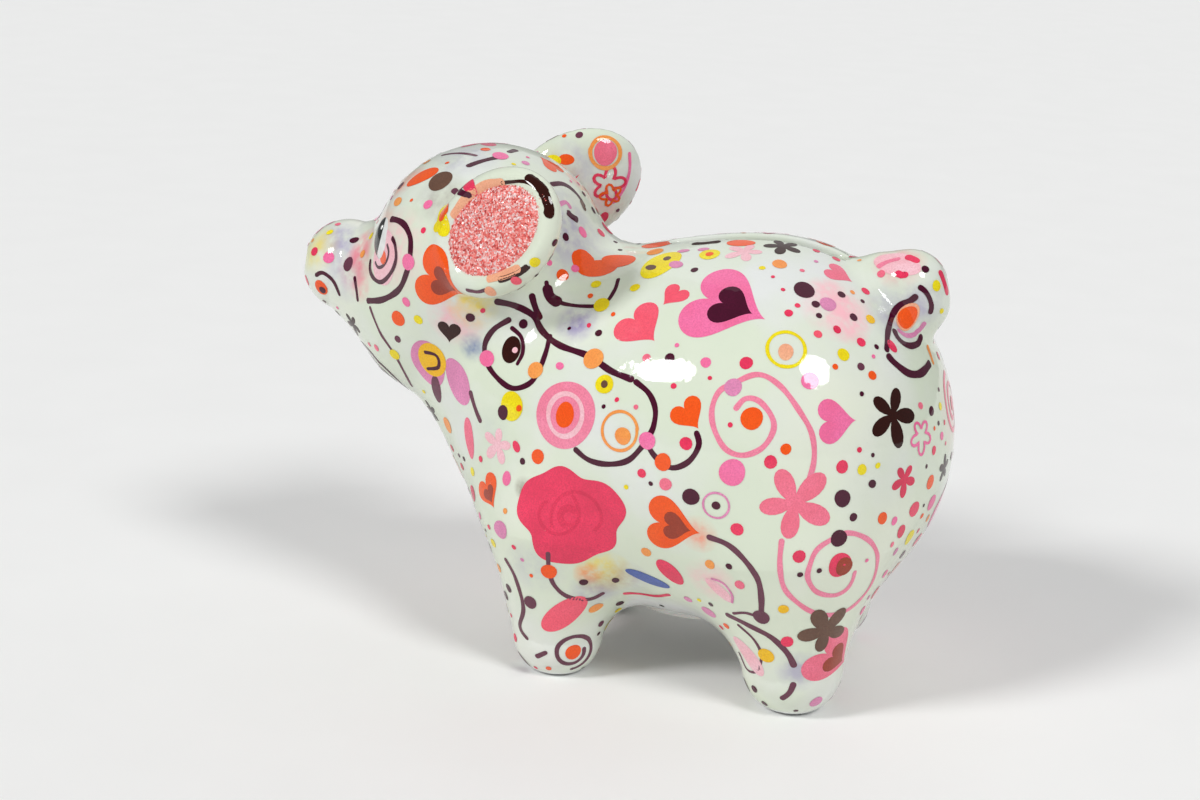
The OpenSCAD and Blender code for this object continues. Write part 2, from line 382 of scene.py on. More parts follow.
# ------------------------------------------------------------------ inks, as linear colours
INKS = {
    "purple": (0.065, 0.002, 0.02),
    "plum": (0.14, 0.04, 0.07),
    "pink": (0.95, 0.17, 0.37),
    "rosepink": (0.93, 0.17, 0.26),
    "candy": (0.93, 0.24, 0.36),
    "coral": (0.98, 0.11, 0.17),
    "crimson": (0.82, 0.04, 0.11),
    "hot": (0.72, 0.03, 0.09),
    "orange": (0.98, 0.10, 0.01),
    "apricot": (0.98, 0.33, 0.08),
    "yellow": (0.90, 0.70, 0.01),
    "amber": (0.95, 0.50, 0.01),
    "brown": (0.03, 0.003, 0.001),
    "umber": (0.14, 0.07, 0.045),
    "rust": (0.33, 0.045, 0.02),
    "mauve": (0.72, 0.25, 0.45),
    "blue": (0.07, 0.12, 0.38),
    "lilac": (0.34, 0.28, 0.52),
    "blush": (0.98, 0.52, 0.58),
    "peach": (0.94, 0.42, 0.25),
}
# Soft smears of ink under the print: place in millimetres, radius, ink and strength.
SMEARS = (
    ((28, -33, 86), 8, "blush", 0.9),
    ((29, -29, 90), 7, "yellow", 0.8),
    ((28, -4, 88), 6, "lilac", 0.9),
    ((27, -29, 79), 4, "blue", 0.7),
    ((15, -10, 108), 15, "lilac", 0.6),
    ((8, -70, 97), 7, "lilac", 0.7),
    ((8, -76, 94), 7, "yellow", 0.6),
    ((12, -66, 90), 8, "lilac", 0.45),
    ((17, -64, 92), 8, "rosepink", 0.5),
    ((11, -62.5, 97.5), 5, "rosepink", 0.7),
    ((13, -63, 94), 5, "rosepink", 0.7),
    ((16.5, -61.5, 87.5), 4, "rosepink", 0.6),
    ((12, -52, 114), 6, "orange", 0.6),
    ((19, -58, 106), 7, "orange", 0.5),
    ((25, -49, 100), 11, "blush", 0.7),
    ((24, -40, 114), 8, "plum", 0.35),
    ((10, -38, 120), 10, "lilac", 0.4),
    ((36, 8, 31), 8, "yellow", 1.0),
    ((22, 55, 97), 10, "blush", 1.0),
    ((20, 52, 99), 6, "blush", 0.9),
    ((24, 58, 94), 6, "blush", 0.9),
    ((46, 31, 47), 5, "orange", 0.6),
    ((36, 4, 31), 4, "orange", 0.8),
    ((35, 13, 30), 7, "lilac", 0.5),
    ((33, 5, 26), 7, "lilac", 0.6),
    ((34, -8, 32), 9, "lilac", 0.4),
    ((42, 34, 35), 7, "blush", 0.7),
    ((38, -12, 50), 3, "umber", 0.7),
    ((36, -24, 62), 7, "blue", 0.15),
    ((37, 55, 14), 6, "lilac", 0.6),
    ((12, 67, 94), 9, "lilac", 0.55),
    ((7, 72, 96), 6, "lilac", 0.5),
    ((4, 66, 104), 7, "rosepink", 0.6),
    ((-26, -22, 114), 9, "lilac", 0.5),
    ((-28, -26, 112), 8, "yellow", 0.4),
    ((-30, -14, 104), 8, "blush", 0.6),
    ((-33, 5, 30), 10, "rosepink", 0.5),
    ((-30, 50, 20), 9, "lilac", 0.5),
    ((-28, -3, 90), 9, "lilac", 0.5),
    ((-20, -56, 96), 9, "blush", 0.6),
    ((0, 80, 70), 12, "blush", 0.5),
    ((0, -40, 60), 10, "lilac", 0.4),
)
GROUND = (0.72, 0.79, 0.64)
WHITE = (0.86, 0.88, 0.87)


def ground_material():
    """Pale mint ground, mottled, with soft smears where the transfer ran, and white underneath."""
    material, tree, bsdf = shader("glaze_ground")
    cool = mix(tree, ramp(tree, noise(tree, 38, 3.0), 0.42, 0.68), tint(GROUND), (0.78, 0.80, 0.78, 1))
    colour = mix(tree, ramp(tree, noise(tree, 21, 2.0), 0.52, 0.72), cool, (0.80, 0.84, 0.70, 1))
    for spot, radius, name, strength in SMEARS:
        colour = smudge(tree, colour, spot, radius, INKS[name], strength)
    specks = ramp(tree, noise(tree, 1500, 2.0, 0.7), 0.68, 0.78)
    colour = mix(tree, times(tree, specks, 0.16), colour, (0.35, 0.33, 0.36, 1))
    colour = mix(tree, unprinted(tree), colour, tint(WHITE))
    set_inputs(bsdf, {"Base Color": colour})
    glaze_over(tree, bsdf)
    return material


def ink_material(name):
    """One ink of the transfer, uneven as it is under a glaze, with pinholes and painted glints."""
    colour = INKS[name]
    material, tree, bsdf = shader("ink_" + name)
    cloudy = mix(tree, ramp(tree, noise(tree, 170, 3.0, 0.6), 0.35, 0.68),
                 tint(colour), tint(shaded(colour, 1.28)))
    grain = mix(tree, ramp(tree, noise(tree, 2600, 2.0, 0.7), 0.35, 0.75),
                cloudy, tint(shaded(colour, 0.82)))
    # Specks of the pale ground colour: partly pinholes in the transfer, partly painted glints that stand
    # in for light caught by the rippled glaze.
    pinholes_and_glints = ramp(tree, noise(tree, 1100, 3.0, 0.75), 0.74, 0.80)
    ink_with_glints = mix(tree, pinholes_and_glints, grain, tint(GROUND))
    set_inputs(bsdf, {"Base Color": ink_with_glints})
    glaze_over(tree, bsdf)
    return material


# ------------------------------------------------------------------ the skin, piece by piece
# Millimetres: how far into the wall the outside reaches, and by how much a face may lie off the
# body or the tail and still belong to it and not to an ear.
WALL_SLACK, BODY_BIAS, TAIL_BIAS = 0.4, 1.2, 0.6
CUT_CLEAR = 0.2


def skin_pieces():
    """Body, ears and tail as one seamless surface, split where each piece joins the next."""
    points, faces = surface_net(skin_field, *SKIN_BOX, SKIN_CELL)
    normals = unit_rows(slope(skin_field, points, NORMAL_STEP))
    middle = points[faces].mean(1)
    outside = pig_field(middle) + WALL > -WALL_SLACK
    faces, middle = faces[outside], middle[outside]
    fields = np.stack([pig_field(middle) - BODY_BIAS, ear_field(middle), tail_field(middle) - TAIL_BIAS])
    nearest = fields.argmin(0)
    left = middle[:, 0] > 0
    keeps = {
        "body_skin": (nearest == 0, "body_shell"),
        "ear_left_skin": ((nearest == 1) & left, "ear_left"),
        "ear_right_skin": ((nearest == 1) & ~left, "ear_right"),
        "tail_skin": (nearest == 2, "tail"),
    }
    material = ground_material()
    for name, (keep, node) in keeps.items():
        used, part_faces = used_part(points, faces, keep)
        dress(mesh_piece(name, points[used], part_faces, normals[used]), material, node)
    return points, faces, normals


def inner_wall():
    """The unglazed hollow inside, seen through the slot."""
    points, faces = surface_net(hollow_field, *HOLLOW_BOX, INSIDE_CELL)
    middle = points[faces].mean(1)
    in_slot, in_hole = slot_field(middle), disc_field(middle, HOLE_R, HOLE_TOP)
    keep = (in_slot > CUT_CLEAR) & (in_hole > CUT_CLEAR)
    used, part_faces = used_part(points, faces[:, ::-1], keep)
    piece = mesh_piece("inner_wall", points[used], part_faces)
    material, tree, bsdf = shader("bisque")
    colour = mix(tree, noise(tree, 60, 4.0, 0.6), (0.52, 0.50, 0.45, 1), (0.70, 0.68, 0.62, 1))
    pits = relief(tree, noise(tree, 700, 3.0), 0.3, 0.0005)
    set_inputs(bsdf, {"Base Color": colour, "Roughness": 0.85, "Normal": pits})
    dress(piece, material)


# ------------------------------------------------------------------ placing ink on the skin
# Millimetres: the first ink above the glaze, one layer over another, and neighbours in a layer.
FIRST_LIFT, LAYER_LIFT, NEXT_LIFT = 0.05, 0.028, 0.002
# How high above the skin a drawing is pressed from, how deep it may reach, and its mesh's steps.
PRESS_FROM, PRESS_REACH = 5, 18
FILL_STEP, STROKE_STEP = 1.2, 0.7


class Skin:
    """The finished skin as something to press drawings on to."""

    def __init__(self, points, faces):
        self.tree = BVHTree.FromPolygons(points.tolist(), faces.tolist())
        self.sheets = {name: {"points": [], "lift": [], "faces": [], "count": 0} for name in INKS}
        self.taken = []
        self.laid = 0

    def nearest(self, spot):
        hit, normal, _, _ = self.tree.find_nearest(Vector(spot))
        return np.array(hit), np.array(normal)

    def stand(self, spot, degrees=0.0):
        """Middle, right, up and outward directions of a place on the skin, turned by some degrees."""
        middle, out = self.nearest(spot)
        right = np.cross((0, 0, 1), out)
        if np.linalg.norm(right) < 0.35:
            right = np.array([0.0, 1.0 if out[0] >= 0 else -1.0, 0.0])
        right = right - out * (right @ out)
        right /= np.linalg.norm(right)
        up = np.cross(out, right)
        c, s = math.cos(math.radians(degrees)), math.sin(math.radians(degrees))
        return middle, c * right + s * up, c * up - s * right, out

    def press(self, stand, flat):
        """Points of a flat drawing, pressed on to the skin where it stands."""
        middle, right, up, out = stand
        pressed = []
        for a, b in flat:
            spot = middle + a * right + b * up
            hit = self.tree.ray_cast(Vector(spot + PRESS_FROM * out), Vector(-out), PRESS_REACH)[0]
            if hit is None:
                hit = self.tree.find_nearest(Vector(spot))[0]
            pressed.append(hit)
        return np.array(pressed)

    def deposit(self, ink, points, faces, layer):
        """Adds faces of one ink, a hair above whatever was laid before."""
        sheet = self.sheets[ink]
        self.laid += 1
        lift = FIRST_LIFT + LAYER_LIFT * layer + NEXT_LIFT * (self.laid % 7)
        sheet["points"].append(np.asarray(points))
        sheet["lift"].append(np.full(len(points), lift))
        sheet["faces"] += [[i + sheet["count"] for i in face] for face in faces]
        sheet["count"] += len(points)

    def mark(self, spot, radius):
        """Keeps later scattered motifs off this spot."""
        self.taken.append((*spot, radius))

    def fill(self, ink, stand, outline, layer=0):
        """An area of ink inside an outline that its own middle sees all of."""
        outline = np.asarray(outline)
        middle = outline.mean(0)
        reach = np.linalg.norm(outline - middle, axis=1).max()
        rings = max(1, math.ceil(reach / FILL_STEP))
        flat = [middle]
        for k in range(1, rings + 1):
            flat += list(middle + (outline - middle) * k / rings)
        self.deposit(ink, self.press(stand, flat), disc_faces(rings, len(outline)), layer)
        self.mark(stand[0], reach)

    def stroke(self, ink, path, width, layer=0):
        """A line of ink with round ends, along points in millimetres near the skin."""
        path = np.asarray(path, float)
        run = np.concatenate([[0], np.cumsum(np.linalg.norm(np.diff(path, axis=0), axis=1))])
        length = run[-1]
        cap = width / 2 * np.array([0, 0.06, 0.2, 0.45, 1.0])
        even = np.linspace(0, length, max(2, round(length / STROKE_STEP)))
        at = np.unique(np.concatenate([cap, length - cap, even]))
        at = at[(at >= 0) & (at <= length)]
        spots = np.stack([np.interp(at, run, path[:, i]) for i in range(3)], 1)
        found = [self.nearest(p) for p in spots]
        spots, out = np.array([f[0] for f in found]), np.array([f[1] for f in found])
        ahead = np.gradient(spots, axis=0)
        side = np.cross(out, ahead)
        side /= np.maximum(np.linalg.norm(side, axis=1), 1e-9)[:, None]
        to_end = np.clip(np.minimum(at, length - at) / (width / 2), 0, 1)
        half = width / 2 * np.sqrt(1 - (1 - to_end) ** 2) * (1 + 0.08 * np.sin(at * 0.9 + width))
        lanes = np.linspace(-1, 1, 3 if width < 1.8 else 5)
        points = (spots[:, None] + side[:, None] * (half[:, None] * lanes)[..., None]).reshape(-1, 3)
        m = len(lanes)
        starts = [k * m + j for k in range(len(at) - 1) for j in range(m - 1)]
        faces = [[a, a + m, a + m + 1, a + 1] for a in starts]
        self.deposit(ink, points, faces, layer)
        for spot in spots[::4]:
            self.mark(spot, width)


def smooth_path(knots):
    """A smooth curve through the knots."""
    knots = np.asarray(knots, float)
    knots = np.concatenate([[2 * knots[0] - knots[1]], knots, [2 * knots[-1] - knots[-2]]])
    out = []
    for a, b, c, d in zip(knots, knots[1:], knots[2:], knots[3:]):
        steps = max(2, math.ceil(np.linalg.norm(c - b) / PATH_STEP))
        for t in np.linspace(0, 1, steps, endpoint=False):
            out.append(0.5 * (2 * b + (c - a) * t + (2 * a - 5 * b + 4 * c - d) * t**2
                              + (3 * b - a - 3 * c + d) * t**3))
    return np.array(out + [knots[-2]])


# ------------------------------------------------------------------ outlines, with the drawing's up at +Y
PETALS = 5
PATH_STEP = 0.8


def round_outline(width, height, wobble):
    a = np.linspace(0, 2 * math.pi, max(12, round(4 * max(width, height))), endpoint=False)
    phase = rng.uniform(0, 6)
    r = 1 + wobble * np.sin(2 * a + phase) + 0.6 * wobble * np.sin(3 * a + 2 * phase)
    return np.stack([width / 2 * r * np.cos(a), height / 2 * r * np.sin(a)], 1)


def heart_outline(size):
    """A heart that wide across its lobes, its tip along +X."""
    a = np.linspace(2 * math.pi, 0, max(28, round(4 * size)), endpoint=False)
    x = 16 * np.sin(a) ** 3
    y = 13 * np.cos(a) - 5 * np.cos(2 * a) - 2 * np.cos(3 * a) - np.cos(4 * a)
    return np.stack([-y - 2, x], 1) * size / 32


def flower_outline(size, waist):
    a = np.linspace(0, 2 * math.pi, PETALS * 12, endpoint=False)
    lobe = np.abs(np.cos(PETALS * a / 2))
    r = size / 2 * (waist + (1 - waist) * lobe) * (1 + 0.10 * np.sin(a + size))
    return np.stack([r * np.cos(a), r * np.sin(a)], 1)


def rose_outline(size):
    a = np.linspace(0, 2 * math.pi, 90, endpoint=False)
    r = size / 2 * (0.90 + 0.07 * np.sin(3 * a + 1.0) + 0.05 * np.sin(5 * a) + 0.03 * np.sin(8 * a + 2))
    return np.stack([r * np.cos(a), 0.88 * r * np.sin(a)], 1)


def spiral_path(inner, outer, turns, start, hand=1):
    a = np.linspace(0, 1, max(16, round(abs(turns) * 3.5 * (inner + outer))))
    r = inner + (outer - inner) * a
    angle = math.radians(start) + hand * turns * 2 * math.pi * a
    return np.stack([r * np.cos(angle), r * np.sin(angle)], 1)


# ------------------------------------------------------------------ motifs
def dot(skin, ink, spot, size, tall=1.0, degrees=0.0, layer=1):
    outline = round_outline(size, size * tall, 0.03)
    skin.fill(ink, skin.stand(spot, degrees), outline, layer)


def dots(skin, *rows):
    """Dots one after another, each with its ink, place and size and whatever else dot() takes."""
    for row in rows:
        dot(skin, *row)


def heart(skin, ink, spot, size, degrees, inner=None):
    stand = skin.stand(spot, degrees)
    skin.fill(ink, stand, heart_outline(size))
    if inner:
        skin.fill(inner, stand, heart_outline(size * 0.52) + (size * 0.07, 0), 1)


def flower(skin, ink, spot, size, degrees, waist=0.3, layer=0):
    skin.fill(ink, skin.stand(spot, degrees), flower_outline(size, waist), layer)


def line_flower(skin, ink, spot, size, degrees, width=0.7):
    outline = flower_outline(size, 0.38)
    stand = skin.stand(spot, degrees)
    closed = np.concatenate([outline, outline[:2]])
    skin.stroke(ink, skin.press(stand, closed), width, 1)
    skin.mark(stand[0], size / 2)


def ring(skin, ink, spot, size, width, layer=1):
    stand = skin.stand(spot)
    circle = spiral_path(size / 2, size / 2 * rng.uniform(0.94, 1.04), 1.03, rng.uniform(0, 360))
    skin.stroke(ink, skin.press(stand, circle), width, layer)
    skin.mark(stand[0], size / 2)


def swirl(skin, ink, spot, inner, outer, turns, start, hand, width):
    stand = skin.stand(spot)
    skin.stroke(ink, skin.press(stand, spiral_path(inner, outer, turns, start, hand)), width)
    skin.mark(stand[0], outer)


def line(skin, ink, knots, width, layer=0):
    skin.stroke(ink, smooth_path(knots), width, layer)


def donut(skin, spot, size, outer):
    stand = skin.stand(spot)
    skin.fill(outer, stand, round_outline(size, size, 0.02))
    skin.fill("blush", stand, round_outline(size * 0.66, size * 0.70, 0.02), 1)
    skin.fill(outer, stand, round_outline(size * 0.50, size * 0.56, 0.02), 2)
    skin.fill("orange", stand, round_outline(size * 0.30, size * 0.40, 0.03), 3)


def rose(skin, spot, size, degrees):
    """A big rose: a ruffled blot with darker curls drawn inside it."""
    stand = skin.stand(spot, degrees)
    skin.fill("crimson", stand, rose_outline(size))
    curls = ((0.0, 0.0, 0.10, 1.6, 20), (-0.12, 0.04, 0.22, 0.8, 110), (0.10, -0.02, 0.27, 0.7, 300))
    for x, y, r, turns, start in curls:
        path = spiral_path(r * size * 0.5, r * size, turns, start) + (x * size, y * size)
        skin.stroke("hot", skin.press(stand, path), size * 0.030, 1)


# ------------------------------------------------------------------ the print, part by part
# Places are in millimetres on the form. They were picked by eye in crops of the photograph, and a
# scratch script projected many of them on to the form, so these lists aren't all hand-chosen.
# The order of the calls sets the random draws and which ink lies on top.
def back_print(skin):
    heart(skin, "pink", (29, 31, 96), 21, -12, inner="purple")
    heart(skin, "coral", (32, 12, 90), 12, -30)
    heart(skin, "coral", (26, 18, 96), 7, -110)
    flower(skin, "blush", (12, 31, 105), 9, -70)
    flower(skin, "brown", (7, 39, 106), 9, -20)
    dot(skin, "yellow", (15, 12, 101), 8, 1.5)
    dot(skin, "mauve", (16, 16, 101), 4, 0.7)
    dot(skin, "umber", (16, 10, 100), 3, 0.7, layer=2)
    dot(skin, "umber", (13, 13, 102), 2, layer=2)
    dot(skin, "yellow", (13, 23, 104), 5)
    dot(skin, "orange", (13, 23, 104), 2, layer=2)
    dots(skin, ("apricot", (8, 9, 102), 4), ("orange", (2, 8, 103), 8, 0.7),
         ("orange", (7, 29, 106.5), 7, 0.6))
    line(skin, "brown", ((5.5, 17, 105), (6, 20, 105), (5.5, 24, 106)), 2)
    dots(skin, ("purple", (22, 47, 100), 5), ("mauve", (23, 53, 98), 4), ("purple", (18, 55, 99), 2),
         ("purple", (24, 50, 97), 2))
    ring(skin, "yellow", (35, 46, 89), 8.4, 0.8)
    dot(skin, "peach", (35.5, 46, 88.5), 3.4, 1.2)


def flank_print(skin):
    line(skin, "candy", ((43, 37, 76), (43, 39, 79), (43, 42, 79), (43, 45, 76), (44, 46, 73),
         (45, 44, 69), (46, 40, 67), (46, 36, 68), (45, 33, 72), (44, 32, 76), (43, 33, 80),
         (42, 36, 82), (40, 41, 84), (40, 46, 82), (41, 51, 77), (41, 54, 72), (42, 55, 66),
         (44, 54, 60)), 1.25)
    dot(skin, "orange", (44, 41, 75), 5)
    dot(skin, "mauve", (42, 36, 81), 4)
    flower(skin, "rosepink", (45, 52, 57), 17, -170, waist=0.26)
    line(skin, "candy", ((46, 50, 49), (46, 50, 43), (44, 51, 37), (42, 54, 33), (39, 58, 30),
         (35, 63, 29), (31, 67, 31), (29, 69, 35), (31, 70, 41), (34, 69, 46), (37, 66, 49),
         (40, 63, 50), (42.5, 60, 48.5), (43.5, 57.5, 46.5), (44, 56.5, 43.5), (43.5, 56, 40),
         (42, 57.5, 36.5), (40, 59.5, 35), (38, 62, 34.5), (36.5, 64, 35.5), (36, 65, 37.5),
         (36.5, 65.5, 40.5)), 1.2)
    dot(skin, "crimson", (40, 62.5, 42.5), 6, 1.0)
    dot(skin, "rust", (39.5, 63.5, 42), 4.4, 1.05, layer=2)
    dot(skin, "purple", (41, 62, 49), 4)
    heart(skin, "pink", (38, 59, 75), 10, 0)
    flower(skin, "brown", (28, 70, 75), 14, -80, waist=0.2)
    line_flower(skin, "pink", (21, 76, 69), 8, -95)
    flower(skin, "hot", (27, 74, 60), 8, -90)
    donut(skin, (39, -3, 69), 15.5, "candy")
    line(skin, "purple", ((41, 0, 62), (42, 4, 60), (43, 9, 60), (44, 14, 62), (44, 18, 67)), 1.3)
    ring(skin, "apricot", (43, 11, 68), 9, 0.7)
    dot(skin, "apricot", (43, 12, 67), 4)
    line(skin, "purple", ((39, 13, 79), (41, 17, 77), (43, 19, 74), (44, 19, 70), (44, 18, 67),
         (45, 20, 64), (46, 24, 62), (46, 28, 64), (46, 30, 68), (45, 29, 71)), 1.3)
    dot(skin, "pink", (44, 18, 67), 4, layer=2)
    dot(skin, "orange", (46, 22, 63), 4, layer=2)
    heart(skin, "orange", (44, 27, 74), 8, -45)
    rose(skin, (41, 0, 45.5), 29, 15)
    heart(skin, "orange", (45, 25, 48), 14, -5, inner="rust")
    line(skin, "plum", ((46, 33, 47), (46, 38, 46), (46, 42, 43), (45, 45, 39), (43, 46, 34),
         (41, 46, 28)), 1.4)
    dot(skin, "plum", (41, 46, 28), 4)
    line(skin, "plum", ((41, 45, 28), (41, 42, 28), (39, 39, 27)), 0.8)
    heart(skin, "orange", (33, -22, 46), 9, -45, inner="rust")
    flower(skin, "blush", (33, -20, 58), 9, -60)
    dot(skin, "crimson", (39, 24, 35), 5, 1.7, 30)
    dot(skin, "blue", (36, 18, 31), 11, 0.34, -20)
    ring(skin, "mauve", (45, 35, 55), 6, 0.5)
    dot(skin, "purple", (45, 35, 55), 2)


SEEN_DOTS = {
    "crimson": ((39, 38, 86, 3), (45, 46, 66, 3), (46, 27, 68, 3), (39, 61, 65, 3), (47, 40, 50, 3),
                (45, 54, 45, 3), (39, 52, 22, 3), (29, 45, 96, 2)),
    "pink": ((37, 52, 83, 4), (47, 38, 63, 6), (39, 29, 85, 2.5), (24, -42, 111, 2.5), (26, -46, 88, 2.5),
             (13, 79, 51, 4)),
    "yellow": ((30, 58, 88, 3), (36, 65, 64, 2.5), (38, 6, 77, 4.5), (19, 75, 44, 4), (26, -43, 84, 2.5),
               (22, 8, 96, 2.5), (5.5, 75, 100.5, 2.6)),
    "amber": ((42, 51, 31, 2.5), (18.5, 62, 94, 2.5)),
    "rosepink": ((46, 23, 58, 3), (37, 15, 84, 2), (44, 41, 36, 2.5)),
    "purple": ((47, 29, 56, 4), (40, 62, 58, 4), (45.5, 38.5, 40.5, 1.6), (44.5, 54.5, 40.5, 1.4),
               (43, 58.5, 41.5, 1.3), (38.5, 64.5, 53.5, 2), (23, 64.5, 89, 1.3), (5.5, 72, 104, 1.9)),
    "orange": ((32, 70, 52, 3), (24, -49, 83, 4), (20, -10, 97, 3), (44, 49, 69, 2.5),
               (17, 79, 57, 3.5), (28, 64.5, 83.5, 2.2)),
    "plum": ((35, -10, 21, 3.5), (29, 62, 85.5, 1.9)),
    "coral": ((30, 52, 92, 2),),
    "apricot": ((44, 34, 40, 2.5),),
}


def dot_print(skin):
    """The larger round dots between the motifs of the left side."""
    for ink, dots in SEEN_DOTS.items():
        for x, y, z, size in dots:
            dot(skin, ink, (x, y, z), size)
    dot(skin, "umber", (38, 6, 77), 1.8, layer=2)


def leg_print(skin):
    line(skin, "plum", ((40, -5, 36), (39, -5, 31), (37, -4, 27), (35, -1, 24), (33, 4, 23),
         (32, 7, 25)), 1.1)
    dot(skin, "orange", (40, -5, 30), 4)
    swirl(skin, "plum", (31, 0, 8), 2.8, 5.5, 1.3, 20, -1, 1.1)
    dot(skin, "orange", (31, 0, 8), 4)
    line(skin, "plum", ((35, -17, 31), (35, -14, 27), (34, -12, 19), (31, -13, 13), (32, -11, 10)), 1.2)
    line(skin, "plum", ((32, -9, 6), (33, -6, 8)), 1.2)
    dot(skin, "coral", (34, -2, 19), 14, 0.45, 45, layer=0)
    dot(skin, "apricot", (31, 5, 20), 4, 0.6, 30)
    line(skin, "crimson", ((30, 11, 24), (30, 18, 25), (33, 23, 27)), 1.2)
    line(skin, "plum", ((38, 37, 26), (39, 42, 25), (39, 48, 23), (38, 52, 19), (37, 54, 15)), 1.5)
    line(skin, "plum", ((38, 40, 24), (38, 44, 21), (37, 46, 17), (35, 45, 12), (32, 42, 11),
         (32, 40, 15)), 0.8)
    line(skin, "plum", ((36, 54, 11), (36, 53, 8), (35, 51, 6)), 1.4)
    dot(skin, "blush", (34.5, 43, 15.5), 11, 0.45, -52, layer=0)
    dot(skin, "amber", (38, 47, 17), 4)
    flower(skin, "umber", (36, 60, 25), 13, 52, waist=0.38, layer=1)
    heart(skin, "rosepink", (31.5, 62.5, 16.5), 15, -30, inner="rust")
    dot(skin, "blush", (41.5, 36, 33), 8, 0.42, -45, layer=0)
    line(skin, "mauve", ((42.5, 34, 36), (43, 37, 35.5), (42.5, 39, 32.5), (41, 39, 30)), 0.6, 1)


def head_print(skin):
    line(skin, "purple", ((20, -53, 106), (23, -50, 106.5), (25.5, -47.5, 106), (27.5, -45.5, 104),
         (28.3, -44.8, 101.5), (28.5, -44.8, 98), (28, -45.8, 95), (26.5, -47.5, 91.5), (24.5, -50, 89),
         (21.5, -54, 86.5), (18, -59, 85)), 1.5)
    dot(skin, "pink", (28, -45, 98), 4, layer=2)
    dot(skin, "blush", (22, -54, 97), 12, 1.1, layer=0)
    line(skin, "purple", ((23.5, -51, 102.5), (25, -49.5, 101), (26, -49, 98), (25, -50.5, 94.5),
         (22, -54, 91), (19.5, -57, 91), (17.5, -58.5, 92.5), (16.5, -59, 95)), 1.1, 1)
    line(skin, "purple", ((22.5, -52.5, 100.5), (23.5, -51.5, 99), (23.5, -52, 97), (22, -53.5, 95),
         (20, -55.5, 94), (18.5, -57, 95)), 0.8, 1)
    dot(skin, "orange", (22, -54, 97), 3.5)
    line(skin, "plum", ((19, -58, 84), (21, -55, 78), (20, -51, 73), (18, -49, 68), (15, -48, 64)), 0.8)
    dot(skin, "yellow", (20, -51, 73), 3, layer=2)
    heart(skin, "orange", (31, -36, 95), 15, -20, inner="rust")
    line(skin, "purple", ((27, -20, 87), (28, -24, 84), (28, -26, 80), (29, -25, 76), (31, -21, 73),
         (33, -17, 72), (34, -13, 74), (33, -11, 77), (31, -10, 81), (29, -10, 85)), 1.3)
    line(skin, "purple", ((27, -20, 85), (28, -17, 83), (30, -16, 80), (31, -17, 77)), 1.0)
    dot(skin, "brown", (29, -19, 80), 5, 1.25)
    dot(skin, "blush", (29, -18, 80), 1.5, layer=2)
    dot(skin, "pink", (28, -25, 77), 4, layer=2)
    dot(skin, "apricot", (33, -12, 77), 4, layer=2)
    line(skin, "purple", ((28, -24, 91), (27, -19, 90), (26, -15, 88), (28, -12, 85), (31, -7, 83),
         (34, 1, 82), (37, 7, 80), (39, 13, 79)), 1.5)
    dot(skin, "apricot", (35, 2, 82), 5, layer=2)
    line(skin, "purple", ((25, -16, 93), (25, -15, 90), (26, -13, 87)), 1.5)
    line(skin, "purple", ((23, -13, 96), (23, -12, 92), (24, -7, 91), (25, 1, 92), (22, 3, 95),
         (18, 3, 97)), 1.0)
    line(skin, "purple", ((23, -13, 95), (23, -12, 92), (24, -9, 91)), 2.6)
    dot(skin, "yellow", (25, 1, 92), 4, layer=2)
    line(skin, "orange", ((12, -9, 101), (15, -6, 98), (15, -3, 99), (12, 1, 100)), 5.5)
    dot(skin, "orange", (11, 1, 100), 8, 0.8)
    line(skin, "purple", ((1, -28, 122), (5, -29, 122)), 1.6)
    line(skin, "purple", ((9, -30, 121), (12, -33, 120), (15, -36, 119)), 1.6)
    dot(skin, "pink", (8, -30, 121), 4, layer=2)
    line(skin, "plum", ((6, -45, 119), (8, -40, 121), (10, -35, 121)), 1.0)
    line(skin, "plum", ((22, -37, 115), (27, -33, 116), (31, -29, 116)), 1.6)
    dots(skin, ("orange", (15, -47, 116), 9, 0.6, 50), ("umber", (19, -41, 116), 6, 1.1),
         ("apricot", (18, -52, 110), 4, 0.6))


def neck_print(skin):
    """Short strokes and dots behind the ears."""
    line(skin, "purple", ((10, -14, 109), (10, -11, 109), (9, -8, 109)), 1.8)
    line(skin, "mauve", ((12, -15, 111), (9, -13, 112), (9, -11, 111)), 1.2)
    line(skin, "umber", ((2, -12, 111), (3, -10, 109)), 1.6)
    line(skin, "plum", ((8, -17, 116), (4, -15, 116), (2, -13, 114), (2, -11, 111)), 0.7)
    dots(skin, ("pink", (9, -9, 105), 2.5, 1.2), ("crimson", (2, -6, 104), 2.5),
         ("purple", (15, -11, 105), 2), ("pink", (17, -8, 98), 2), ("yellow", (19, -2, 95), 2.5),
         ("purple", (19, 21, 101), 1.8), ("purple", (27, -17, 86), 2.2), ("purple", (31, 2, 87), 1.8),
         ("mauve", (10, 16, 104), 3, 0.6), ("mauve", (10, 21, 104), 3, 0.6))


